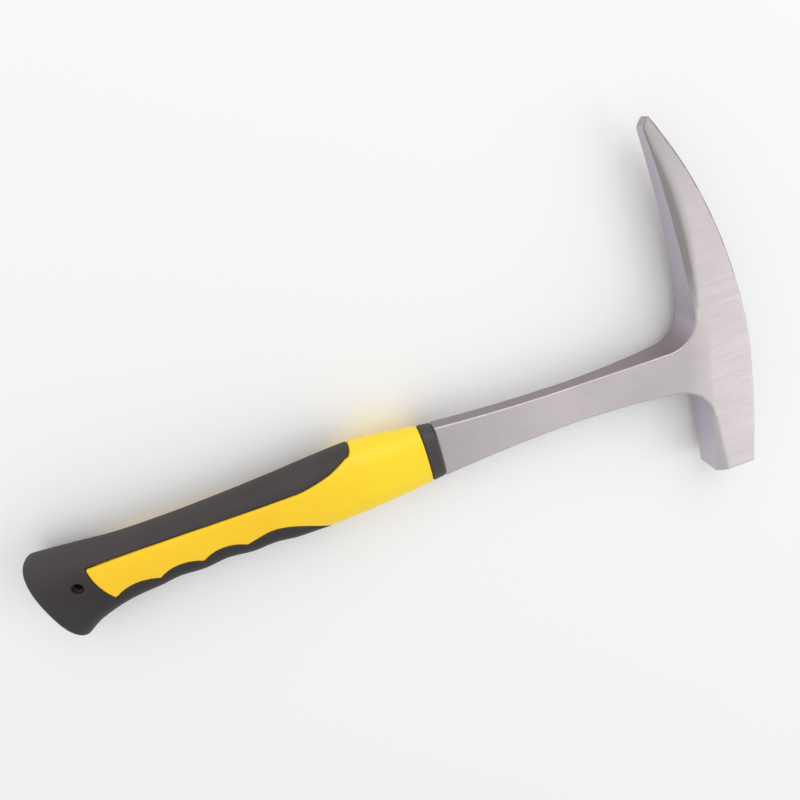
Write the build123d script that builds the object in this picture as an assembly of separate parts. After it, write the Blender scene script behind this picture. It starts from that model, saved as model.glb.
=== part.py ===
from build123d import *
import os
from math import atan2, cos, degrees, pi, radians, sin, sqrt

# Rock hammer lying on its side, in millimetres.
# +X runs along the handle towards the head, +Y from the striking face towards the pick tip,
# +Z is the side of the hammer that faces up.  Distances along X are measured from the middle of
# the head's back; the finished parts are moved so that the origin is the centre of the striking face.

# ---- driving dimensions: head ------------------------------------------------------------
FACE_IN = -10.2            # striking face's edge towards the handle
FACE_OUT = 8.9             # striking face's edge at the back
HEAD_T = 17.0              # cheek to cheek thickness of the head
BACK_BULGE = 0.7           # how far the poll's back swells out above the striking face
BACK_PEAK = 29.0           # height where the back stands furthest out
BACK_ARCS = ((495.0, 3.4), (234.5, 28.7))      # radius and sweep of the back above that, in turn
TIP_FACET = 4.0            # length of the blunt facet across the pick's tip
TIP_LEAN = 233.0           # direction of the facet, from the back to the inner edge
THROAT = (-16.6, 88.0)     # pick's inner edge where it meets the root fillet
PICK_BOW = 1.6             # how far the inner edge bows behind its chord
ROOT = (-16.2, 72.0)       # corner between the pick and the shank
ROOT_R = 13.0
CHIN = (-11.1, 49.4)       # corner between the poll and the shank
CHIN_R = 18.0

# half thickness of the head: (height, half thickness)
PICK_TAPER = ((66.0, 8.5), (94.0, 7.15), (123.0, 5.95), (146.0, 4.85), (160.0, 3.4), (171.0, 2.4))
TIP_SLOPE = 0.09           # how fast the half thickness falls at the tip

# bevel between the pick's inner face and its cheeks: (height, width on the cheek, depth)
PICK_BEVEL = (
    (82.0, 0.3, 0.2),
    (97.0, 2.0, 1.2),
    (124.0, 4.0, 1.6),
    (146.0, 3.4, 1.3),
    (168.0, 0.5, 0.25),
)
BEVEL_REACH = 4.0          # how far the pick's bevel cutter reaches past the corner it cuts

POLL_BEVEL = (4.3, 2.3)    # bevel of the poll's inner corners at the striking face: width, depth
POLL_BEVEL_TOP = 34.0      # height where it has run out
BEVEL_SPILL = 1.5          # how far the poll's bevel cutters reach past the corners
HAIR = 0.02                # width where a bevel is taken to have run out
ASIDE = 30.0               # distance clear of the head along X, and of the grip along Z
CLEAR = 200.0              # length of a cutting form that has to clear the whole head

# ---- driving dimensions: shank and tang -------------------------------------------------
SHANK_T = 7.2              # thickness of the straight part of the shank
FLARE_X = -82.0            # where the cheeks start to flare out of the shank
CHEEK_X = -14.1            # where the flare meets the flat cheek of the head
COLLAR_X = -138.2          # front face of the collar, where the shank enters the grip
SHANK_TOP = ((-37.0, 70.4), (-75.0, 69.8), (COLLAR_X, 73.2))
SHANK_LOW = ((COLLAR_X, 48.6), (-82.0, 51.7), (-34.0, 50.3))
TANG_Y = 60.6              # centre line of the tang
TANG_H = 15.0
TANG_T = 6.0
TANG_END = -284.0
TANG_KEYS = (-170.0, -205.0, -240.0)           # holes that lock the moulded grip to the tang
TANG_KEY_R = 3.5
TANG_END_R = 6.0
TANG_LAP = 3.0             # how far the tang runs into the shank

# ---- driving dimensions: grip -----------------------------------------------------------
SLEEVE_X = -144.5          # back edge of the collar, front edge of the yellow shell
SKIN = 3.0                 # thickness of the shells over the core
CORE_END = -306.0          # where the core stops inside the butt
ROUNDNESS = 2.4            # exponent of the grip's oval cross-section
SECTION_POINTS = 24
LANYARD = (-296.0, 62.4)
LANYARD_R = 2.4

# grip outline from front to back: (x, top, bottom, half thickness)
GRIP = (
    (COLLAR_X, 73.4, 48.5, 8.1),
    (SLEEVE_X, 74.3, 47.7, 8.5),
    (-160.0, 76.4, 46.4, 10.4),
    (-175.0, 77.9, 45.4, 11.5),
    (-192.0, 77.0, 44.6, 11.8),
    (-212.0, 75.4, 44.9, 11.6),
    (-235.0, 74.0, 46.0, 11.5),
    (-258.0, 73.1, 45.8, 11.9),
    (-280.0, 73.2, 44.6, 12.6),
    (-297.0, 75.2, 39.8, 13.0),
    (-309.0, 77.2, 33.8, 12.6),
)
BUTT_LENGTH = 5.4          # rounded butt beyond the last outline station
BUTT_FULLNESS = 2.7        # exponent of the butt's rounding
BUTT_TILT = 10.5           # lean of the butt's end, degrees: its top stands further back than its heel
TILT_START = -284.0        # where the sections start to lean
FINGER_RIDGE = -270.0      # ridge behind the last finger
FINGER_PITCH = 21.0
FINGER_COUNT = 3
FINGER_DEPTH = 1.0

# outline of the yellow shell between the black strips, seen from the side
STRIP_Y = 68.8             # lower edge of the back strip
STRIP_NOSE = ((-203.0, STRIP_Y), (-188.0, 71.4), (-177.5, 75.2), (-173.8, 77.0), (-172.4, 84.0))
TONGUE_END = ((-290.4, STRIP_Y), (-288.2, 59.8), (-284.8, 51.9))
SCALLOPS = (TONGUE_END[-1], (-265.4, 53.3), (-246.7, 53.8), (-228.0, 54.1))
SCALLOP_RISE = 3.0         # height of each scallop above its cusps
BELLY = (SCALLOPS[-1], (-214.0, 56.6), (-199.0, 50.9), (-187.5, 41.0))
ABOVE = 95.0               # heights clear of the grip on either side
BELOW = 25.0


def smooth(points, x):
    """Value at x of the smooth curve through points, which run one way along x."""
    last = len(points) - 2
    i = next((k for k in range(last) if (x - points[k + 1][0]) * (points[k][0] - points[k + 1][0]) >= 0), last)
    (x0, y0), (x1, y1) = points[i], points[i + 1]
    (xa, ya), (xb, yb) = points[max(i - 1, 0)], points[min(i + 2, last + 1)]
    slope0 = (y1 - ya) / (x1 - xa)
    slope1 = (yb - y0) / (xb - x0)
    t = (x - x0) / (x1 - x0)
    bend = slope0 * t * (1 - t) ** 2 - slope1 * t * t * (1 - t)
    return y0 + (y1 - y0) * t * t * (3 - 2 * t) + bend * (x1 - x0)


# ---- forging ----------------------------------------------------------------------------
def pick_inner():
    """Inner edge of the pick, from the tip facet to the throat, and the tip's back corner."""
    back = pick_back()
    tip = back[-1] @ 1
    facet = Line(tip, tip + Vector(TIP_FACET, 0).rotate(Axis.Z, TIP_LEAN))
    foot = facet @ 1
    throat = Vector(*THROAT)
    along = (throat - foot).normalized()
    middle = (foot + throat) / 2 + Vector(-along.Y, along.X) * PICK_BOW
    return facet, ThreePointArc(foot, middle, throat)


def pick_back():
    """Back edge of the head, from the striking face up to the tip."""
    radius = (BACK_PEAK ** 2 + BACK_BULGE ** 2) / (2 * BACK_BULGE)
    sweep = degrees(atan2(BACK_PEAK, radius - BACK_BULGE))
    heading = Vector(0, 1).rotate(Axis.Z, -sweep)
    start = Vector(FACE_OUT, 0)
    edges = []
    for radius, sweep in ((radius, sweep), *BACK_ARCS):
        edges.append(JernArc(start, heading, radius, sweep))
        start = edges[-1] @ 1
        heading = edges[-1] % 1
    return edges


def side_outline():
    """Outline of the head and shank seen from the side, up to the collar."""
    facet, inner = pick_inner()
    edges = pick_back() + [facet, inner]
    edges += [Line(THROAT, ROOT), Line(ROOT, SHANK_TOP[0]), ThreePointArc(*SHANK_TOP)]
    edges += [Line(SHANK_TOP[2], SHANK_LOW[0]), ThreePointArc(*SHANK_LOW)]
    edges += [Line(SHANK_LOW[2], CHIN), Line(CHIN, (FACE_IN, 0)), Line((FACE_IN, 0), (FACE_OUT, 0))]
    outline = make_face(edges)
    for corner, radius in ((ROOT, ROOT_R), (CHIN, CHIN_R)):
        outline = fillet(outline.vertices().sort_by_distance(corner)[0], radius)
    return outline


def flare_block():
    """Everything no thicker than the shank's flare allows, seen from above."""
    half_shank = SHANK_T / 2
    half_head = HEAD_T / 2
    rise = half_head - half_shank
    run = CHEEK_X - FLARE_X
    radius = (run ** 2 + rise ** 2) / (2 * rise)
    sweep = degrees(atan2(run, radius - rise))
    straight = Line((COLLAR_X, 0, half_shank), (FLARE_X, 0, half_shank))
    flare = Plane.XZ * JernArc((FLARE_X, half_shank), (1, 0), radius, sweep)
    cheek = Line(flare @ 1, (ASIDE, 0, half_head))
    upper = [straight, flare, cheek]
    ends = [
        Line((COLLAR_X, 0, -half_shank), (COLLAR_X, 0, half_shank)),
        Line((ASIDE, 0, -half_head), (ASIDE, 0, half_head)),
    ]
    lower = [edge.mirror(Plane.XY) for edge in upper]
    return extrude(make_face(upper + lower + ends), CLEAR, dir=(0, 1, 0))


def taper_block():
    """Everything no thicker than the pick's taper allows, seen along the handle."""
    half_head = HEAD_T / 2
    points = [(ASIDE, height, half) for height, half in PICK_TAPER]
    cheek = Line((ASIDE, 0, half_head), points[0])
    taper = Spline(*points, tangents=[(0, 1, 0), (0, 1, -TIP_SLOPE)])
    upper = [cheek, taper]
    lower = [edge.mirror(Plane.XY) for edge in upper]
    tip = Vector(*points[-1])
    ends = [
        Line((ASIDE, 0, -half_head), (ASIDE, 0, half_head)),
        Line((tip.X, tip.Y, -tip.Z), tip),
    ]
    return extrude(make_face(upper + lower + ends), CLEAR, dir=(-1, 0, 0))


def inner_x(height):
    """X of the pick's inner edge at a height."""
    inner = pick_inner()[1]
    middle = inner.arc_center
    return middle.X + sqrt(inner.radius ** 2 - (height - middle.Y) ** 2) * (-1 if middle.X > 0 else 1)


def pick_bevel_cutter():
    """Wedge that bevels the corner between the pick's inner face and its upper cheek."""
    sections = []
    for height, width, depth in PICK_BEVEL:
        half = smooth(PICK_TAPER, height)
        edge = Vector(inner_x(height), height, half)
        low = edge + Vector(0, 0, -depth)
        high = edge + Vector(width, 0, 0)
        along = (high - low).normalized() * BEVEL_REACH
        outside = edge + Vector(-BEVEL_REACH, 0, BEVEL_REACH)
        sections.append(make_face(Polyline(low - along, high + along, outside, close=True)))
    return loft(sections)


def poll_bevel_cutter():
    """Wedge that bevels the poll's inner corner at the upper cheek, widest at the striking face."""
    lean = (CHIN[0] - FACE_IN) / CHIN[1]
    sections = []
    for height, share in ((-HAIR, 1.0), (POLL_BEVEL_TOP, HAIR)):
        width, depth = POLL_BEVEL
        edge = Vector(FACE_IN + lean * height, height, HEAD_T / 2)
        low = edge + Vector(0, 0, -depth * share)
        high = edge + Vector(width * share, 0, 0)
        spill = (high - low).normalized() * BEVEL_SPILL
        outside = edge + Vector(-BEVEL_SPILL, 0, BEVEL_SPILL)
        sections.append(make_face(Polyline(low - spill, high + spill, outside, close=True)))
    return loft(sections, ruled=True)


def tang():
    """Flat tang inside the grip, with a rounded end and three key holes."""
    length = COLLAR_X - TANG_END
    outline = Rectangle(length + TANG_LAP, TANG_H)
    outline = fillet(outline.vertices().sort_by(Axis.X)[:2], TANG_END_R)
    flat = extrude(outline, TANG_T / 2, both=True)
    flat = Pos((COLLAR_X + TANG_END + TANG_LAP) / 2, TANG_Y, 0) * flat
    for x in TANG_KEYS:
        flat -= Pos(x, TANG_Y, 0) * Cylinder(TANG_KEY_R, TANG_T * 2)
    return flat


def forging():
    """Head, shank and tang in one piece."""
    body = extrude(side_outline(), HEAD_T / 2, both=True) & flare_block() & taper_block()
    for cutter in (pick_bevel_cutter(), poll_bevel_cutter()):
        body = body - cutter - cutter.mirror(Plane.XY)
    return body + tang()


# ---- grip -------------------------------------------------------------------------------
def finger_wave(x):
    """How far the belly is hollowed at x for the fingers."""
    steps = (x - FINGER_RIDGE) / FINGER_PITCH
    if steps < 0 or steps > FINGER_COUNT:
        return 0.0
    return FINGER_DEPTH * sin(pi * steps) ** 2


def grip_section(x, inset=0.0):
    """Oval cross-section of the grip at x, drawn in by inset all round."""
    station = max(x, GRIP[-1][0])
    top = smooth([(row[0], row[1]) for row in GRIP], station)
    low = smooth([(row[0], row[2]) for row in GRIP], station) + finger_wave(x)
    half = smooth([(row[0], row[3]) for row in GRIP], station)
    centre = (top + low) / 2
    tall = (top - low) / 2 - inset
    half -= inset
    if x < station:
        beyond = (station - x) / BUTT_LENGTH
        shrink = (1 - beyond ** BUTT_FULLNESS) ** (1 / BUTT_FULLNESS)
        tall *= shrink
        half *= shrink
    share = min(max((TILT_START - x) / (TILT_START - GRIP[-1][0]), 0.0), 1.0)
    tilt = radians(BUTT_TILT * share * share)
    power = 2 / ROUNDNESS
    points = []
    for step in range(SECTION_POINTS):
        turn = 2 * pi * step / SECTION_POINTS
        across = cos(turn)
        up = sin(turn)
        along = tall * abs(across) ** power * (1 if across >= 0 else -1)
        z = half * abs(up) ** power * (1 if up >= 0 else -1)
        points.append((x - along * sin(tilt), centre + along * cos(tilt), z))
    return make_face(Spline(*points, periodic=True))


def grip_stations(front, back):
    """X of the loft's sections between two planes, closer together at the fingers."""
    stations = [front, SLEEVE_X, -152.0, -160.0, -168.0, -175.0, -183.0, -192.0, -200.0]
    x = FINGER_RIDGE + FINGER_PITCH * FINGER_COUNT
    while x > FINGER_RIDGE - FINGER_PITCH:
        stations.append(x)
        x -= FINGER_PITCH / 4
    stations += [-297.0, -302.0, CORE_END, GRIP[-1][0]]
    return [x for x in dict.fromkeys(stations) if front >= x >= back]


def grip_envelope():
    """Outer form of the whole grip, from the collar's front face to the butt."""
    stations = grip_stations(COLLAR_X, GRIP[-1][0])
    butt = [GRIP[-1][0] - BUTT_LENGTH * share for share in (0.25, 0.5, 0.7, 0.85, 0.95, 0.99)]
    return loft([grip_section(x) for x in stations + butt])


def grip_inside():
    """Form of the hard core under the shells."""
    stations = grip_stations(SLEEVE_X, CORE_END)
    return loft([grip_section(x, SKIN) for x in stations])


def scallop(start, end, rise):
    """Arc between two cusps of the finger strip, standing rise above the line between them."""
    start = Vector(*start)
    end = Vector(*end)
    along = (end - start).normalized()
    return ThreePointArc(start, (start + end) / 2 + Vector(-along.Y, along.X) * rise, end)


def yellow_region():
    """Side view of the yellow shell: a sleeve in front and a tongue between the two black strips."""
    edges = [
        Polyline((BELLY[-1][0], BELOW), (SLEEVE_X, BELOW), (SLEEVE_X, ABOVE), (STRIP_NOSE[-1][0], ABOVE)),
        Line((STRIP_NOSE[-1][0], ABOVE), STRIP_NOSE[-1]),
        Spline(*reversed(STRIP_NOSE), tangents=[(-0.1, -1), (-1, 0)]),
        Line(STRIP_NOSE[0], TONGUE_END[0]),
        ThreePointArc(*TONGUE_END),
    ]
    for start, end in zip(SCALLOPS, SCALLOPS[1:]):
        edges.append(scallop(start, end, SCALLOP_RISE))
    edges.append(Spline(*BELLY))
    edges.append(Line(BELLY[-1], (BELLY[-1][0], BELOW)))
    return extrude(make_face(edges), ASIDE, both=True)


def main():
    os.makedirs("parts", exist_ok=True)
    steel = forging()
    envelope = grip_envelope()
    inside = grip_inside()
    collar = envelope & Pos((COLLAR_X + SLEEVE_X) / 2, TANG_Y, 0) * Box(COLLAR_X - SLEEVE_X, CLEAR, CLEAR)
    lanyard = Pos(LANYARD[0], LANYARD[1], 0) * Cylinder(LANYARD_R, CLEAR)
    skin = envelope - inside - collar - lanyard
    yellow = skin & yellow_region()
    nodes = {
        "steel_forging": steel,
        "grip_core": inside + collar - steel - lanyard,
        "yellow_grip_shell": yellow,
        "black_overmould": skin - yellow,
    }
    to_face = Pos(-(FACE_IN + FACE_OUT) / 2, 0, 0)
    for name, solid in nodes.items():
        export_step(to_face * solid, f"parts/{name}.step")


if __name__ == "__main__":
    main()
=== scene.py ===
import math

import bpy
import numpy as np
from mathutils import Matrix, Vector


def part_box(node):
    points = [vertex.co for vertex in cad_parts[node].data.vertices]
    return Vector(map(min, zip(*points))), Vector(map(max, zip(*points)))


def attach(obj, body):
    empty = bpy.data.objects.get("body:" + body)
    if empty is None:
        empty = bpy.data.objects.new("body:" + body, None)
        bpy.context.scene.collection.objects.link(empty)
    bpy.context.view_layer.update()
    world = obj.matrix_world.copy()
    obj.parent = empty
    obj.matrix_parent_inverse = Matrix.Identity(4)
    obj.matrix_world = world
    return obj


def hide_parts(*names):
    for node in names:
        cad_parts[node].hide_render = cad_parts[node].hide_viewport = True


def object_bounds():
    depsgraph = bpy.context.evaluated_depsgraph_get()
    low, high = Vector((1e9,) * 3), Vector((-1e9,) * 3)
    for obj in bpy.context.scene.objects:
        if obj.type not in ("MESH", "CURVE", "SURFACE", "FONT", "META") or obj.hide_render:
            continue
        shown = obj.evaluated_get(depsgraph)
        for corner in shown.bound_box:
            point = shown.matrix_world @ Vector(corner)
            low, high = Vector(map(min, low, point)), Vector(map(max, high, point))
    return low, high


# A rock hammer lying on its side.  Shapes are written in millimetres, in the frame's own axes:
# +X along the handle towards the head, +Y from the striking face to the pick's tip, +Z the side
# that faces up.  Each piece is the zero surface of a signed distance field, meshed by a net of quads.
MM = 0.001

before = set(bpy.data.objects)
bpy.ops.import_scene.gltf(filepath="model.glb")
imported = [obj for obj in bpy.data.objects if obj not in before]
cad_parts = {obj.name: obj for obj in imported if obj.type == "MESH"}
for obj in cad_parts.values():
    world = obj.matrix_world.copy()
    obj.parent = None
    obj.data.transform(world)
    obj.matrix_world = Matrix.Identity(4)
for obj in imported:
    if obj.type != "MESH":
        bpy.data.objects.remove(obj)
CAD_LOW, CAD_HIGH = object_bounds()

# ---- sizes: head ---------------------------------------------------------------------------------
# These numbers use a working X, shared by head, shank and grip. The frame's X = 0 lies at HEAD_MID in it.
FACE_IN = -10.2            # striking face's edge towards the handle
FACE_OUT = 8.9             # striking face's edge at the back
HEAD_MID = (FACE_IN + FACE_OUT) / 2            # middle of the striking face
HEAD_HALF = 8.5            # half thickness of the head
BACK_BULGE = 0.7           # how far the poll's back swells out above the striking face
BACK_PEAK = 29.0           # height where the back stands furthest out
BACK_ARCS = ((495.0, 3.4), (234.5, 28.85))     # radius and sweep of the back above that, in turn
TIP_FACET = 4.6            # length of the blunt facet across the pick's tip
TIP_LEAN = 233.0           # direction of the facet, from the back to the inner edge
THROAT = (-16.6, 88.0)     # pick's inner edge where it meets the root fillet
THROAT_LEAN = -0.025       # how the inner edge leans below the throat
PICK_BOW = 1.6             # bow of the pick's inner edge from its chord
POLL_TOP = (-11.1, 49.4)   # corner between the poll and the shank
SHANK_MID = 60.0           # height that parts the poll from the pick
ROOT_R = 13.0              # fillet between the pick and the shank
CHIN_R = 18.0              # fillet between the poll and the shank
FILLET_REACH = 2.0         # how far behind the striking face's inner edge the fillets may reach
TAPER = ((66.0, 8.5), (94.0, 7.15), (123.0, 5.95), (146.0, 4.85), (160.0, 3.4), (171.0, 2.4))
HEAD_TOP = 172.0           # height up to which the tables run
ARC_POINTS = 50            # points on each arc of the back
PAST_TIP = 20.0            # how far the back's line runs on past the tip
# bevel of the head's inner corners: height, width on the cheek, depth
BEVEL = (
    (0.0, 4.3, 2.3),
    (34.0, 0.4, 0.3),
    (82.0, 0.4, 0.3),
    (97.0, 2.0, 1.2),
    (124.0, 4.0, 1.6),
    (146.0, 3.4, 1.3),
    (168.0, 0.5, 0.25),
)
BEVEL_PAUSE = ((32.0, 10.0), (88.0, 8.0))      # heights between which there is no bevel, with the fades
BEVEL_SOFT = 0.8           # softness of the bevel's line on the cheek
CREASE_SOFT = 1.2          # softness of the line where the flare meets the cheek
EDGE_R = 0.4               # rounding of the forging's edges
EDGE_FADE = (178.0, 40.0, 0.45)                # the rounding fades towards the tip: height, run, least share
CORNER_R = 0.4             # rounding between the pick's back and inner edges
TIP_R = 0.5
FACE_R = 0.25

# ---- sizes: shank and tang -----------------------------------------------------------------------
COLLAR_X = -138.2          # front face of the collar
SHANK_HALF = 3.6           # half thickness of the straight part
FLARE_X = -82.0            # where the cheeks start to flare
CHEEK_X = -14.1            # where the flare meets the cheek of the head
FLARE_PAST = 3.0           # how far the flare's curve runs on past that
SHANK_TOP = ((-37.0, 70.4), (-75.0, 69.8), (COLLAR_X, 73.2))
SHANK_LOW = ((-34.0, 50.3), (-82.0, 51.7), (COLLAR_X, 48.6))
TOP_SLOPE = 0.055          # slope of the shank's top edge under the root fillet
LOW_SLOPE = 0.037          # and of its lower edge over the chin fillet
TANG_Y = 60.6
TANG_HEIGHT = 15.0
TANG_THICK = 6.0
TANG_END = -284.0
TANG_LAP = 3.0             # how far the tang runs into the shank
TANG_END_R = 5.0
TANG_EDGE_R = 0.5
TANG_KEYS = (-170.0, -205.0, -240.0)
TANG_KEY_R = 3.5

# ---- sizes: grip ---------------------------------------------------------------------------------
SLEEVE_X = -144.5          # back edge of the collar, front edge of the yellow shell
SKIN = 3.0                 # thickness of the shells over the core
CORE_END = -306.0
ROUNDNESS = 2.4            # exponent of the oval cross-section
# outline from front to back: x, top, bottom, half thickness
GRIP = (
    (COLLAR_X, 73.4, 48.5, 8.1),
    (SLEEVE_X, 74.3, 47.7, 8.5),
    (-160.0, 76.4, 46.4, 10.4),
    (-175.0, 77.9, 45.4, 11.5),
    (-192.0, 77.0, 44.6, 11.8),
    (-212.0, 75.4, 44.9, 11.6),
    (-235.0, 74.0, 46.0, 11.5),
    (-258.0, 73.1, 45.8, 11.9),
    (-280.0, 73.2, 44.6, 12.6),
    (-297.0, 75.2, 39.8, 13.0),
    (-309.0, 77.2, 33.8, 12.6),
)
BUTT_LENGTH = 4.8          # rounded butt beyond the last outline station
BUTT_FULLNESS = 2.7        # exponent of the butt's rounding
BUTT_TILT = 9.0            # lean of the butt's end, degrees
TILT_START = -284.0        # where the sections start to lean
FINGER_RIDGE = -270.0      # ridge behind the last finger
FINGER_PITCH = 21.0
FINGER_COUNT = 3
FINGER_DEPTH = 1.0
FORM_SHARE = 0.9           # turns the form's measure into about a distance

# ---- sizes: the yellow shell between the black strips, seen from the side ------------------------
STRIP_Y = 68.8             # lower edge of the back strip
STRIP_NOSE = ((-203.0, STRIP_Y), (-188.0, 71.4), (-178.3, 75.2), (-175.2, 77.0), (-173.9, 84.0))
STRIP_TOP = (-173.2, 92.0)                     # where the nose has left the grip
STRIP_BACK = ((-400.0, STRIP_Y), (-300.0, STRIP_Y))
TONGUE_END = ((-290.4, STRIP_Y), (-288.2, 59.8), (-284.8, 51.9))
SCALLOPS = (TONGUE_END[-1], (-265.4, 53.3), (-246.7, 53.8), (-228.0, 54.1))
SCALLOP_RISE = 3.0         # height of each scallop above its cusps
BELLY = (SCALLOPS[-1], (-214.0, 56.6), (-199.0, 50.9), (-187.5, 41.0), (-180.0, 30.0))
EDGE_SPAN = (-330, -130)   # the table of the shell's lower edge runs over this
EDGE_STEP = 0.2
BELOW = 20.0               # a height clear under the grip
TONGUE_DROP = 3.0          # how far the shell's lower edge lies below its last cusp at the tongue's end
BLACK_FRONT = -160.0       # nothing black in front of this but the collar
SEAM = 0.16                # half the groove between the yellow and the black
SEAM_R = 0.35              # rounding of the shells' edges along it
CUSP_R = 0.3
TONGUE_R = 0.5
COLLAR_R = 0.8
COLLAR_GAP = 0.1           # gap between the collar and the yellow shell
GAP = 0.05                 # gap between the core and what it touches
LANYARD = (-296.0, 62.4)
LANYARD_R = 2.4
LANYARD_LIP = 0.5          # rounding of the hole's mouth


# ---- curves --------------------------------------------------------------------------------------
def smooth(points, x):
    """Smooth curve through points, the same rule as the CAD's."""
    xs = np.array([p[0] for p in points], float)
    ys = np.array([p[1] for p in points], float)
    if xs[0] > xs[-1]:
        xs, ys = xs[::-1], ys[::-1]
    x = np.clip(x, xs[0], xs[-1])
    i = np.clip(np.searchsorted(xs, x) - 1, 0, len(xs) - 2)
    before, after = np.maximum(i - 1, 0), np.minimum(i + 2, len(xs) - 1)
    slope0 = (ys[i + 1] - ys[before]) / (xs[i + 1] - xs[before])
    slope1 = (ys[after] - ys[i]) / (xs[after] - xs[i])
    run = xs[i + 1] - xs[i]
    t = (x - xs[i]) / run
    return (
        ys[i] + (ys[i + 1] - ys[i]) * t * t * (3 - 2 * t)
        + (slope0 * t * (1 - t) ** 2 - slope1 * t * t * (1 - t)) * run
    )


STEP = 0.25                # spacing of the tables


def table(points, low, high, step=STEP):
    """A smooth curve sampled once, so that it can be read quickly at many places."""
    xs = np.arange(low, high + step, step)
    return xs, smooth(points, xs)


def read(curve, x):
    """A table's value at x."""
    return np.interp(x, curve[0], curve[1])


def circle_through(a, b, c):
    """Centre and radius of the circle through three points."""
    (ax, ay), (bx, by), (cx, cy) = a, b, c
    d = 2 * (ax * (by - cy) + bx * (cy - ay) + cx * (ay - by))
    a2, b2, c2 = ax * ax + ay * ay, bx * bx + by * by, cx * cx + cy * cy
    x = (a2 * (by - cy) + b2 * (cy - ay) + c2 * (ay - by)) / d
    y = (a2 * (cx - bx) + b2 * (ax - cx) + c2 * (bx - ax)) / d
    return x, y, math.hypot(ax - x, ay - y)


def arc_table(a, b, c, step=STEP, across=False):
    """The arc through three points as y of x, or as x of y where across is true."""
    x0, y0, radius = circle_through(a, b, c)
    if across:
        ys = np.arange(min(a[1], c[1]), max(a[1], c[1]) + step, step)
        side = 1 if b[0] > x0 else -1
        return ys, x0 + side * np.sqrt(np.maximum(radius ** 2 - (ys - y0) ** 2, 0))
    xs = np.arange(min(a[0], c[0]), max(a[0], c[0]) + step, step)
    side = 1 if b[1] > y0 else -1
    return xs, y0 + side * np.sqrt(np.maximum(radius ** 2 - (xs - x0) ** 2, 0))


# ---- distance fields -----------------------------------------------------------------------------
FAR = 200.0                # a distance larger than any in the model
WELL_INSIDE = -20.0


def both(a, b, r):
    """Inside both a and b, with the edge between them rounded to radius r."""
    return np.minimum(-r, np.maximum(a, b)) + np.hypot(np.maximum(r + a, 0), np.maximum(r + b, 0))


def either(a, b, r):
    """Inside a or b, with the corner between them filled to radius r."""
    return -both(-a, -b, r)


def beside(curve, x, y):
    """Signed distance from the curve y = f(x), above it positive."""
    slope = (read(curve, x + STEP) - read(curve, x - STEP)) / (2 * STEP)
    return (y - read(curve, x)) / np.sqrt(1 + slope * slope)


def back_table():
    """X of the head's back edge over height, and the tip's back corner."""
    radius = (BACK_PEAK ** 2 + BACK_BULGE ** 2) / (2 * BACK_BULGE)
    heading = math.pi / 2 - math.atan2(BACK_PEAK, radius - BACK_BULGE)
    place = np.array([FACE_OUT, 0.0])
    places = [place]
    first = math.degrees(math.pi / 2 - heading)
    for radius, sweep in ((radius, first), *BACK_ARCS):
        centre = place + radius * np.array([-math.sin(heading), math.cos(heading)])
        for share in np.linspace(1 / ARC_POINTS, 1, ARC_POINTS):
            turn = heading - math.pi / 2 + math.radians(sweep) * share
            places.append(centre + radius * np.array([math.cos(turn), math.sin(turn)]))
        heading += math.radians(sweep)
        place = places[-1]
    onward = places[-1] + PAST_TIP * np.array([math.cos(heading), math.sin(heading)])
    places = np.array([*places, onward])
    return (places[:, 1], places[:, 0]), place


BACK, TIP = back_table()
LEAN = np.array([math.cos(math.radians(TIP_LEAN)), math.sin(math.radians(TIP_LEAN))])
FOOT = TIP + TIP_FACET * LEAN
CHORD = (np.array(THROAT) - FOOT) / np.linalg.norm(np.array(THROAT) - FOOT)
BOW = (FOOT + np.array(THROAT)) / 2 + PICK_BOW * np.array([-CHORD[1], CHORD[0]])
PICK_IN = arc_table(FOOT, BOW, THROAT, across=True)
TOP = arc_table(*SHANK_TOP)
LOW = arc_table(*SHANK_LOW)
TAPER_CURVE = table(TAPER, 0, HEAD_TOP)
BEVEL_WIDE = table([row[:2] for row in BEVEL], 0, HEAD_TOP)
BEVEL_DEEP = table([(row[0], row[2]) for row in BEVEL], 0, HEAD_TOP)
FLARE_RISE = HEAD_HALF - SHANK_HALF
FLARE_R = ((CHEEK_X - FLARE_X) ** 2 + FLARE_RISE ** 2) / (2 * FLARE_RISE)


def inner_x(y):
    """X of the head's inner edge: the poll below, the pick above."""
    poll = FACE_IN + (POLL_TOP[0] - FACE_IN) * y / POLL_TOP[1]
    pick = read(PICK_IN, np.maximum(y, THROAT[1])) + np.minimum(y - THROAT[1], 0) * THROAT_LEAN
    return np.where(y < SHANK_MID, poll, pick)


def half_thick(x, y):
    """Half the thickness of the head and shank."""
    run = np.clip(x - FLARE_X, 0, CHEEK_X - FLARE_X + FLARE_PAST)
    flare = SHANK_HALF + FLARE_R - np.sqrt(FLARE_R ** 2 - run ** 2)
    cheek = np.where(y < TAPER[0][0], HEAD_HALF, read(TAPER_CURVE, y))
    return soft_low(flare, cheek, CREASE_SOFT)


def soft_low(a, b, r):
    """The lower of two heights, with the crease between them softened."""
    gap = np.clip(0.5 + 0.5 * (b - a) / r, 0, 1)
    return b + (a - b) * gap - r * gap * (1 - gap)


def soft_high(a, b, r):
    """The higher of two heights, softened the same way."""
    return -soft_low(-a, -b, r)


def head_outline(x, y):
    """Signed distance in side view from the poll and pick."""
    slope = read(BACK, y + 0.5) - read(BACK, y - 0.5)
    back = (x - read(BACK, y)) / np.sqrt(1 + slope * slope)
    lean = inner_x(y + 0.5) - inner_x(y - 0.5)
    inner = (inner_x(y) - x) / np.sqrt(1 + np.clip(lean, -0.4, 0.4) ** 2)
    tip = (x - TIP[0]) * LEAN[1] - (y - TIP[1]) * LEAN[0]
    body = both(both(back, inner, CORNER_R), tip, TIP_R)
    return both(body, -y, FACE_R)


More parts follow.
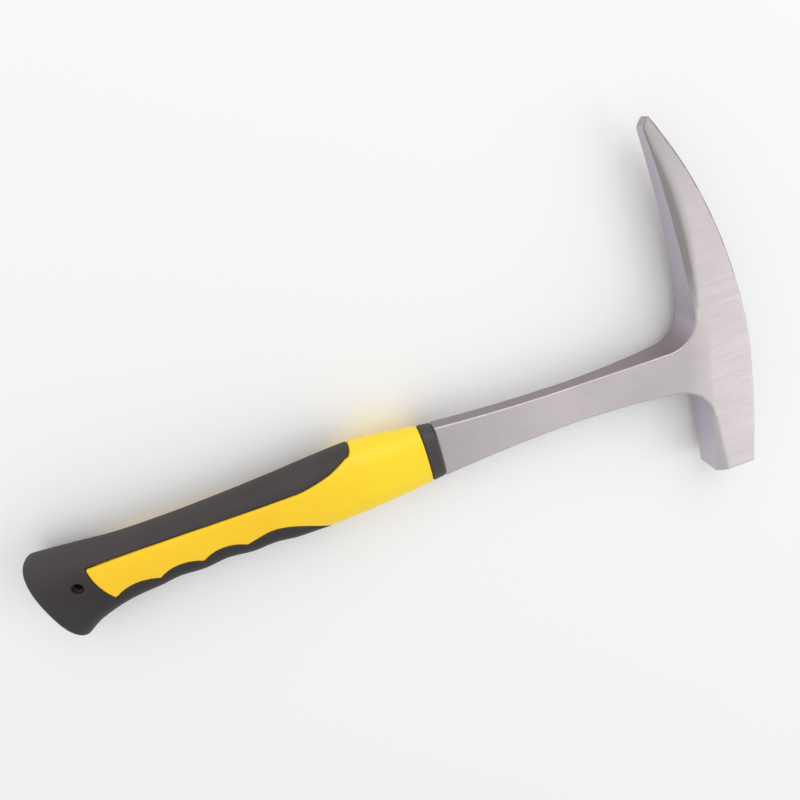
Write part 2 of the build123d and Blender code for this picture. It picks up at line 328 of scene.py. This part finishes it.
def shank_outline(x, y):
    """Signed distance in side view from the shank, which runs on straight into the head."""
    (top_x, top_y), (low_x, low_y) = SHANK_TOP[0], SHANK_LOW[0]
    top = np.where(x > top_x, y - top_y - (x - top_x) * TOP_SLOPE, beside(TOP, x, y))
    low = np.where(x > low_x, low_y - (x - low_x) * LOW_SLOPE - y, -beside(LOW, x, y))
    return np.maximum(np.maximum(top, low), x)


def steel_field(x, y, z):
    """The forging: head, shank and tang."""
    x = x + HEAD_MID
    high = np.abs(z)
    head = head_outline(x, y)
    shank = shank_outline(x, y)
    filled = np.where(y > SHANK_MID, either(head, shank, ROOT_R), either(head, shank, CHIN_R))
    filled = np.where(x > FACE_IN + FILLET_REACH, head, filled)
    slab = high - half_thick(x, y)
    wide = read(BEVEL_WIDE, y)
    deep = read(BEVEL_DEEP, y)
    half = half_thick(np.zeros_like(x), y)
    bevel = ((high - half + deep) * wide - (x - inner_x(y)) * deep) / np.hypot(wide, deep)
    (low, low_fade), (top, top_fade) = BEVEL_PAUSE
    hold = np.clip((y - low) / low_fade, 0, 1) * np.clip((top - y) / top_fade, 0, 1)
    slab = soft_high(slab, bevel - FAR * hold, BEVEL_SOFT)
    level, run, least = EDGE_FADE
    body = both(filled, slab, EDGE_R * np.clip((level - y) / run, least, 1))
    return np.minimum(np.maximum(body, COLLAR_X - x), tang_field(x, y, z))


def tang_field(x, y, z):
    """The flat tang inside the grip, with its key holes."""
    ends = np.maximum(TANG_END - x, x - COLLAR_X - TANG_LAP)
    flat = both(ends, np.abs(y - TANG_Y) - TANG_HEIGHT / 2, TANG_END_R)
    keys = np.min([np.hypot(x - key, y - TANG_Y) for key in TANG_KEYS], axis=0)
    flat = np.maximum(flat, TANG_KEY_R - keys)
    return both(flat, np.abs(z) - TANG_THICK / 2, TANG_EDGE_R)


# ---- grip ----------------------------------------------------------------------------------------
GRIP_LOW_X = GRIP[-1][0]
TOPS = table([(row[0], row[1]) for row in GRIP], GRIP_LOW_X, COLLAR_X)
LOWS = table([(row[0], row[2]) for row in GRIP], GRIP_LOW_X, COLLAR_X)
HALVES = table([(row[0], row[3]) for row in GRIP], GRIP_LOW_X, COLLAR_X)


def grip_field(x, y, z, inset=0.0):
    """The grip's oval form, drawn in by inset."""
    # the butt's sections lean, so the station of a place is found in a few rounds
    station = x
    for _ in range(3):
        share = np.clip((TILT_START - station) / (TILT_START - GRIP_LOW_X), 0, 1)
        tilt = np.radians(BUTT_TILT) * share * share
        held = np.clip(station, GRIP_LOW_X, COLLAR_X)
        middle = (read(TOPS, held) + read(LOWS, held)) / 2
        station = x + (y - middle) * np.tan(tilt)
    held = np.clip(station, GRIP_LOW_X, COLLAR_X)
    top = read(TOPS, held)
    low = read(LOWS, held)
    half = read(HALVES, held)
    steps = (station - FINGER_RIDGE) / FINGER_PITCH
    wave = FINGER_DEPTH * np.sin(np.pi * steps) ** 2 * ((steps > 0) & (steps < FINGER_COUNT))
    low = low + wave
    along = (y - (top + low) / 2) / np.cos(tilt)
    tall = (top - low) / 2 - inset
    half = half - inset
    beyond = np.maximum(GRIP_LOW_X + inset - station, 0) / BUTT_LENGTH
    oval = ((np.abs(along) / tall) ** ROUNDNESS + (np.abs(z) / half) ** ROUNDNESS) ** (1 / ROUNDNESS)
    form = (np.maximum(oval, 1e-6) ** BUTT_FULLNESS + beyond ** BUTT_FULLNESS) ** (1 / BUTT_FULLNESS)
    return (form - 1) * half * FORM_SHARE


UPPER = table([*STRIP_BACK, *STRIP_NOSE, STRIP_TOP], STRIP_BACK[0][0], STRIP_TOP[0])
TONGUE = arc_table(*TONGUE_END, across=True)


def scallop_table():
    """The yellow shell's lower edge: three scallops, then the sweep down to the belly."""
    xs = np.arange(*EDGE_SPAN, EDGE_STEP)
    ys = np.full_like(xs, BELOW)
    for (x0, y0), (x1, y1) in zip(SCALLOPS, SCALLOPS[1:]):
        run, rise = x1 - x0, y1 - y0
        span = math.hypot(run, rise)
        middle_x = (x0 + x1) / 2 - rise / span * SCALLOP_RISE
        middle_y = (y0 + y1) / 2 + run / span * SCALLOP_RISE
        cx, cy, radius = circle_through((x0, y0), (middle_x, middle_y), (x1, y1))
        here = (xs >= x0) & (xs <= x1)
        ys[here] = cy + np.sqrt(np.maximum(radius ** 2 - (xs[here] - cx) ** 2, 0))
    here = xs > SCALLOPS[-1][0]
    ys[here] = smooth(BELLY, xs[here])
    ys[xs < SCALLOPS[0][0]] = SCALLOPS[0][1] - TONGUE_DROP
    return xs, ys


LOWER = scallop_table()


def yellow_side(x, y):
    """Signed distance in side view from the yellow shell's outline, inside it negative."""
    upper = np.where(x < UPPER[0][-1], beside(UPPER, x, y), WELL_INSIDE)
    lower = -beside(LOWER, x, y)
    heel = np.clip(y, TONGUE[0][0], TONGUE[0][-1])
    end = read(TONGUE, heel) - x
    return both(both(upper, lower, CUSP_R), end, TONGUE_R)


def lanyard_field(x, y):
    """The lanyard hole, right through the butt."""
    return np.hypot(x - LANYARD[0], y - LANYARD[1]) - LANYARD_R


def yellow_field(x, y, z):
    """The yellow shell: sleeve and side tongues."""
    x = x + HEAD_MID
    shell = np.maximum(grip_field(x, y, z), GAP - grip_field(x, y, z, SKIN))
    side = np.maximum(yellow_side(x, y) + SEAM, x - SLEEVE_X + COLLAR_GAP)
    return both(shell, side, SEAM_R)


def black_field(x, y, z):
    """The black overmould: back strip, butt and finger strip."""
    x = x + HEAD_MID
    inner = np.maximum(grip_field(x, y, z, SKIN), CORE_END - x)
    side = np.maximum(SEAM - yellow_side(x, y), x - BLACK_FRONT)
    shell = both(grip_field(x, y, z), side, SEAM_R)
    shell = np.maximum(shell, GAP - inner)
    return both(shell, -lanyard_field(x, y), LANYARD_LIP)


def core_field(x, y, z):
    """The hard core under both shells, with the collar in front."""
    x = x + HEAD_MID
    inside = np.maximum(grip_field(x, y, z, SKIN), np.maximum(CORE_END - x, x - SLEEVE_X))
    collar = both(grip_field(x, y, z), np.maximum(x - COLLAR_X, SLEEVE_X - x), COLLAR_R)
    whole = np.minimum(inside, collar)
    whole = np.maximum(whole, GAP - tang_field(x, y, z))
    return np.maximum(whole, -lanyard_field(x, y))


# ---- meshing -------------------------------------------------------------------------------------
SLICE = 40                 # layers of the grid worked out at once
NUDGE = 0.02               # distance over which a field's slope is taken
MOST_MOVE = 0.3            # furthest that a point moves to the surface in one step, in cells


def net(field, low, high, cell):
    """Points and quads of the field's zero surface."""
    counts = [int(math.ceil((b - a) / cell)) + 1 for a, b in zip(low, high)]
    axes = [a + cell * np.arange(n) for a, n in zip(low, counts)]
    values = np.empty(counts, np.float32)
    for start in range(0, counts[0], SLICE):
        grid = np.meshgrid(axes[0][start:start + SLICE], axes[1], axes[2], indexing="ij")
        values[start:start + SLICE] = field(*grid)
    inside = values < 0
    corners = [(i, j, k) for i in (0, 1) for j in (0, 1) for k in (0, 1)]

    def shifted(array, corner):
        return array[tuple(slice(c, n - 1 + c) for c, n in zip(corner, counts))]

    total = sum(shifted(inside, corner).astype(np.int8) for corner in corners)
    cells = np.argwhere((total > 0) & (total < 8))
    number = np.full([n - 1 for n in counts], -1, np.int64)
    number[tuple(cells.T)] = np.arange(len(cells))
    places = np.zeros((len(cells), 3))
    found = np.zeros(len(cells))
    for axis in range(3):
        step = np.eye(3, dtype=int)[axis]
        for corner in corners:
            if corner[axis]:
                continue
            first = cells + corner
            a = values[tuple(first.T)].astype(float)
            b = values[tuple((first + step).T)].astype(float)
            cut = (a < 0) != (b < 0)
            t = np.where(cut, a / np.where(cut, a - b, 1), 0)
            places[cut] += (first + t[:, None] * step)[cut]
            found[cut] += 1
    places = np.array(low) + cell * places / found[:, None]
    for _ in range(2):
        value = field(*places.T)
        slope = np.stack([
            (field(*(places + NUDGE * axis).T) - field(*(places - NUDGE * axis).T)) / (2 * NUDGE)
            for axis in np.eye(3)
        ], axis=1)
        move = -value[:, None] * slope / np.maximum((slope ** 2).sum(1), 0.05)[:, None]
        length = np.linalg.norm(move, axis=1, keepdims=True)
        places = places + move * np.minimum(1, MOST_MOVE * cell / np.maximum(length, 1e-9))
    quads = []
    for axis in range(3):
        step = np.eye(3, dtype=int)[axis]
        next_axis = (axis + 1) % 3
        last_axis = (axis + 2) % 3
        u = np.eye(3, dtype=int)[next_axis]
        v = np.eye(3, dtype=int)[last_axis]
        here = inside[tuple(slice(0, n - s) for n, s in zip(counts, step))]
        there = inside[tuple(slice(s, n) for n, s in zip(counts, step))]
        edges = np.argwhere(here != there)
        edges = edges[(edges @ u > 0) & (edges @ v > 0)]
        edges = edges[((edges @ u) < counts[next_axis] - 1) & ((edges @ v) < counts[last_axis] - 1)]
        around = ((1, 1), (0, 1), (0, 0), (1, 0))
        ring = np.stack([number[tuple((edges - a * u - b * v).T)] for a, b in around], axis=1)
        outward = here[tuple(edges.T)]
        ring[~outward] = ring[~outward][:, ::-1]
        quads.append(ring)
    return places, np.concatenate(quads)


def piece(name, field, low, high, cell, node, material):
    """A finished mesh that stands for one CAD node."""
    places, quads = net(field, low, high, cell)
    mesh = bpy.data.meshes.new(name)
    mesh.vertices.add(len(places))
    mesh.vertices.foreach_set("co", (places * MM).astype(np.float32).ravel())
    mesh.loops.add(quads.size)
    mesh.loops.foreach_set("vertex_index", quads.astype(np.int32).ravel())
    mesh.polygons.add(len(quads))
    mesh.polygons.foreach_set("loop_start", np.arange(0, quads.size, 4, dtype=np.int32))
    mesh.polygons.foreach_set("use_smooth", np.ones(len(quads), bool))
    mesh.update(calc_edges=True)
    mesh.validate()
    thing = bpy.data.objects.new(name, mesh)
    bpy.context.scene.collection.objects.link(thing)
    mesh.materials.append(material)
    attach(thing, "root")
    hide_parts(node)
    return thing


# ---- materials -----------------------------------------------------------------------------------
class Nodes:
    """Short way to write one material's nodes."""

    def __init__(self, name):
        self.material = bpy.data.materials.new(name)
        self.material.use_nodes = True
        self.tree = self.material.node_tree
        self.shader = next(n for n in self.tree.nodes if n.type == "BSDF_PRINCIPLED")
        self.place = self.add("ShaderNodeTexCoord").outputs["Object"]
        self.geometry = self.add("ShaderNodeNewGeometry")

    def add(self, kind, **settings):
        node = self.tree.nodes.new(kind)
        for key, value in settings.items():
            setattr(node, key, value)
        return node

    def join(self, source, target):
        self.tree.links.new(source, target)

    def noise(self, scale, stretch=(1, 1, 1), detail=3.0, rough=0.55):
        mapping = self.add("ShaderNodeMapping")
        mapping.inputs["Scale"].default_value = stretch
        self.join(self.place, mapping.inputs["Vector"])
        noise = self.add("ShaderNodeTexNoise")
        noise.inputs["Scale"].default_value = scale
        noise.inputs["Detail"].default_value = detail
        noise.inputs["Roughness"].default_value = rough
        self.join(mapping.outputs[0], noise.inputs["Vector"])
        return noise.outputs["Fac"]

    def split(self, vector):
        node = self.add("ShaderNodeSeparateXYZ")
        self.join(vector, node.inputs[0])
        return node.outputs

    def magnitude(self, value):
        node = self.add("ShaderNodeMath", operation="ABSOLUTE")
        self.join(value, node.inputs[0])
        return node.outputs[0]

    def spread(self, value, low, high, to_low=0.0, to_high=1.0):
        node = self.add("ShaderNodeMapRange")
        for key, number in (("From Min", low), ("From Max", high), ("To Min", to_low), ("To Max", to_high)):
            node.inputs[key].default_value = number
        self.join(value, node.inputs["Value"])
        return node.outputs["Result"]

    def mix(self, share, first, second):
        node = self.add("ShaderNodeMix", data_type="RGBA")
        self.join(share, node.inputs[0])
        for colour, socket in ((first, node.inputs[6]), (second, node.inputs[7])):
            if isinstance(colour, tuple):
                socket.default_value = (*colour, 1)
            else:
                self.join(colour, socket)
        return node.outputs[2]

    def sum(self, first, second, weight=1.0):
        node = self.add("ShaderNodeMath", operation="MULTIPLY_ADD")
        self.join(second, node.inputs[0])
        node.inputs[1].default_value = weight
        self.join(first, node.inputs[2])
        return node.outputs[0]

    def bump(self, height, strength, depth):
        node = self.add("ShaderNodeBump")
        node.inputs["Strength"].default_value = strength
        node.inputs["Distance"].default_value = depth
        self.join(height, node.inputs["Height"])
        self.join(node.outputs[0], self.shader.inputs["Normal"])

    def set(self, **values):
        for key, value in values.items():
            self.shader.inputs[key.replace("_", " ")].default_value = value


def steel_material():
    """Satin steel with fine grinding lines along the handle."""
    m = Nodes("satin_steel")
    m.set(Metallic=1.0)
    cloud = m.noise(28, detail=4)
    grind = m.noise(900, (0.06, 1, 1), 3)
    fine = m.noise(2600, (0.25, 1, 1), 2)
    colour = m.mix(m.spread(cloud, 0.35, 0.65), (0.55, 0.505, 0.51), (0.61, 0.56, 0.565))
    colour = m.mix(m.spread(grind, 0.3, 0.7, 0.0, 0.18), colour, (0.48, 0.445, 0.45))
    # the cheeks are ground; the narrow faces and the bevels keep a duller skin, and their colours also hold
    # painted shade set by which way they face, darkest on the pick's bevel
    facing = m.split(m.geometry.outputs["Normal"])
    flat = m.magnitude(facing["Z"])
    on_pick = m.spread(m.split(m.place)["Y"], 0.085, 0.105)
    # painted shade: the pick's bevel is painted darker than the poll's bevel
    slant = m.mix(on_pick, (0.58, 0.555, 0.555), (0.34, 0.315, 0.31))
    # painted shade: narrow faces turned towards the pick's tip are painted darker than the inner faces
    narrow = m.mix(m.spread(facing["Y"], 0.3, 0.8), (0.55, 0.50, 0.56), (0.36, 0.31, 0.325))
    unground_skin_and_painted_shade = m.mix(m.spread(flat, 0.25, 0.75), narrow, slant)
    colour = m.mix(m.spread(flat, 0.945, 0.985), unground_skin_and_painted_shade, colour)
    # painted highlight: sharp edges are lightened in the base colour, standing in for the light they catch
    edge = m.geometry.outputs["Pointiness"]
    colour = m.mix(m.spread(edge, 0.54, 0.64, 0.0, 0.2), colour, (0.78, 0.74, 0.74))
    m.join(colour, m.shader.inputs["Base Color"])
    rough = m.sum(m.spread(grind, 0.3, 0.7, 0.40, 0.50), m.spread(cloud, 0.3, 0.7, -0.03, 0.03))
    m.join(rough, m.shader.inputs["Roughness"])
    m.bump(m.sum(grind, fine, 0.5), 0.25, 0.00008)
    return m.material


def yellow_material():
    """Satin yellow plastic, a little paler on the sleeve than on the tongues."""
    m = Nodes("yellow_plastic")
    m.set(IOR=1.5)
    cloud = m.noise(35, detail=3)
    grain = m.noise(1500, detail=2)
    front = m.spread(m.split(m.place)["X"], -0.215, -0.165)
    warm = m.mix(front, (0.96, 0.585, 0.006), (0.97, 0.69, 0.010))
    pale = m.mix(front, (0.97, 0.615, 0.008), (0.98, 0.73, 0.014))
    colour = m.mix(m.spread(cloud, 0.35, 0.65), warm, pale)
    m.join(colour, m.shader.inputs["Base Color"])
    m.join(m.spread(grain, 0.3, 0.7, 0.36, 0.46), m.shader.inputs["Roughness"])
    m.bump(grain, 0.12, 0.0001)
    return m.material


def rubber_material():
    """Soft black rubber with random dusty patches; the sides that face the pick are painted lighter, as
    painted top light.
    """
    m = Nodes("black_rubber")
    m.set(IOR=1.40)
    cloud = m.noise(40, detail=4)
    grain = m.noise(1300, detail=3)
    # painted light: faces turned towards the pick are painted lighter, standing in for the light falling
    # from that side
    upper = m.spread(m.split(m.geometry.outputs["Normal"])["Y"], -0.5, 0.8)
    clean_with_painted_top_light = m.mix(upper, (0.016, 0.0125, 0.0145), (0.044, 0.035, 0.036))
    dusty_with_painted_top_light = m.mix(upper, (0.021, 0.0175, 0.0195), (0.054, 0.045, 0.046))
    colour = m.mix(m.spread(cloud, 0.35, 0.65), clean_with_painted_top_light, dusty_with_painted_top_light)
    m.join(colour, m.shader.inputs["Base Color"])
    m.join(m.spread(grain, 0.3, 0.7, 0.50, 0.62), m.shader.inputs["Roughness"])
    m.bump(grain, 0.25, 0.00015)
    return m.material


def collar_material():
    """Hard black plastic, a shade paler than the rubber."""
    m = Nodes("hard_black_plastic")
    cloud = m.noise(60, detail=3)
    grain = m.noise(1800, detail=2)
    colour = m.mix(m.spread(cloud, 0.35, 0.65), (0.036, 0.032, 0.030), (0.046, 0.041, 0.039))
    m.join(colour, m.shader.inputs["Base Color"])
    m.join(m.spread(grain, 0.3, 0.7, 0.46, 0.56), m.shader.inputs["Roughness"])
    m.bump(grain, 0.15, 0.0001)
    return m.material


# ---- pieces --------------------------------------------------------------------------------------
def span(node, spill=1.0):
    """The box to mesh in: the CAD node's own box and a little more, in millimetres."""
    low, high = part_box(node)
    return [c / MM - spill for c in low], [c / MM + spill for c in high]


CELL = 0.55
CORE_CELL = CELL * 1.25    # the core hardly shows


def build(name, field, cell, node, material):
    """Mesh one piece in its CAD node's box."""
    low, high = span(node)
    piece(name, field, low, high, cell, node, material)


build("steel_forging_skin", steel_field, CELL, "steel_forging", steel_material())
build("grip_core_skin", core_field, CORE_CELL, "grip_core", collar_material())
build("yellow_shell_skin", yellow_field, CELL, "yellow_grip_shell", yellow_material())
build("black_overmould_skin", black_field, CELL, "black_overmould", rubber_material())


# ---- floor, light and camera ---------------------------------------------------------------------
FLOOR_HALF = 3.0
FLOOR_GAP = 0.0002         # gap under the hammer


def floor():
    """Plain pale floor."""
    mesh = bpy.data.meshes.new("floor")
    height = CAD_LOW.z - FLOOR_GAP
    around = ((-1, -1), (1, -1), (1, 1), (-1, 1))
    corners = [(FLOOR_HALF * x, FLOOR_HALF * y, height) for x, y in around]
    mesh.from_pydata(corners, [], [(0, 1, 2, 3)])
    thing = bpy.data.objects.new("floor", mesh)
    bpy.context.scene.collection.objects.link(thing)
    paint = bpy.data.materials.new("floor_paper")
    paint.use_nodes = True
    shader = paint.node_tree.nodes["Principled BSDF"]
    shader.inputs["Base Color"].default_value = (0.92, 0.92, 0.92, 1)
    shader.inputs["Roughness"].default_value = 0.9
    shader.inputs["Specular IOR Level"].default_value = 0.0
    mesh.materials.append(paint)


def area_light(name, place, aim, size, power):
    """Round soft light that looks at aim."""
    data = bpy.data.lights.new(name, "AREA")
    data.shape = "DISK"
    data.size = size
    data.energy = power
    lamp = bpy.data.objects.new(name, data)
    bpy.context.scene.collection.objects.link(lamp)
    lamp.location = place
    lamp.rotation_mode = "QUATERNION"
    lamp.rotation_quaternion = (Vector(aim) - Vector(place)).to_track_quat("-Z", "Y")


HALF_DOT = 0.5 / 800       # half a picture dot, as a share of the picture's width
SENSOR = 36.0
LENS = 29.25
CAMERA_RIGHT = Vector((0.94187, -0.26031, 0.21241)).normalized()
CAMERA_BACK = Vector((-0.08158, 0.43609, 0.89620)).normalized()
CAMERA_PLACE = Vector((-170.228 - HEAD_MID, 208.205, 244.590)) * MM


def camera():
    """The scene's camera, looking down at the hammer from the grip's side."""
    data = bpy.data.cameras.new("camera")
    data.sensor_width = SENSOR
    data.lens = LENS
    data.clip_start = 0.01
    data.clip_end = 20
    data.shift_x = -HALF_DOT
    data.shift_y = HALF_DOT
    thing = bpy.data.objects.new("camera", data)
    bpy.context.scene.collection.objects.link(thing)
    up = CAMERA_BACK.cross(CAMERA_RIGHT).normalized()
    right = up.cross(CAMERA_BACK)
    turn = Matrix((right, up, CAMERA_BACK)).transposed().to_4x4()
    thing.matrix_world = Matrix.Translation(CAMERA_PLACE) @ turn
    bpy.context.scene.camera = thing


LIGHT_SIZE = 1.4
RIGHT_LIGHT = Vector((1.3, -0.7, 0.9))
TOP_LIGHT = Vector((0.2, 1.1, 0.9))

floor()
centre = (CAD_LOW + CAD_HIGH) / 2
area_light("right", centre + RIGHT_LIGHT, centre, LIGHT_SIZE, 5.2)
area_light("top", centre + TOP_LIGHT, centre, LIGHT_SIZE, 7)
world = bpy.data.worlds.new("studio")
world.use_nodes = True
world.node_tree.nodes["Background"].inputs["Color"].default_value = (1, 1, 1, 1)
world.node_tree.nodes["Background"].inputs["Strength"].default_value = 0.75
bpy.context.scene.world = world
bpy.context.scene.view_settings.view_transform = "Standard"
camera()
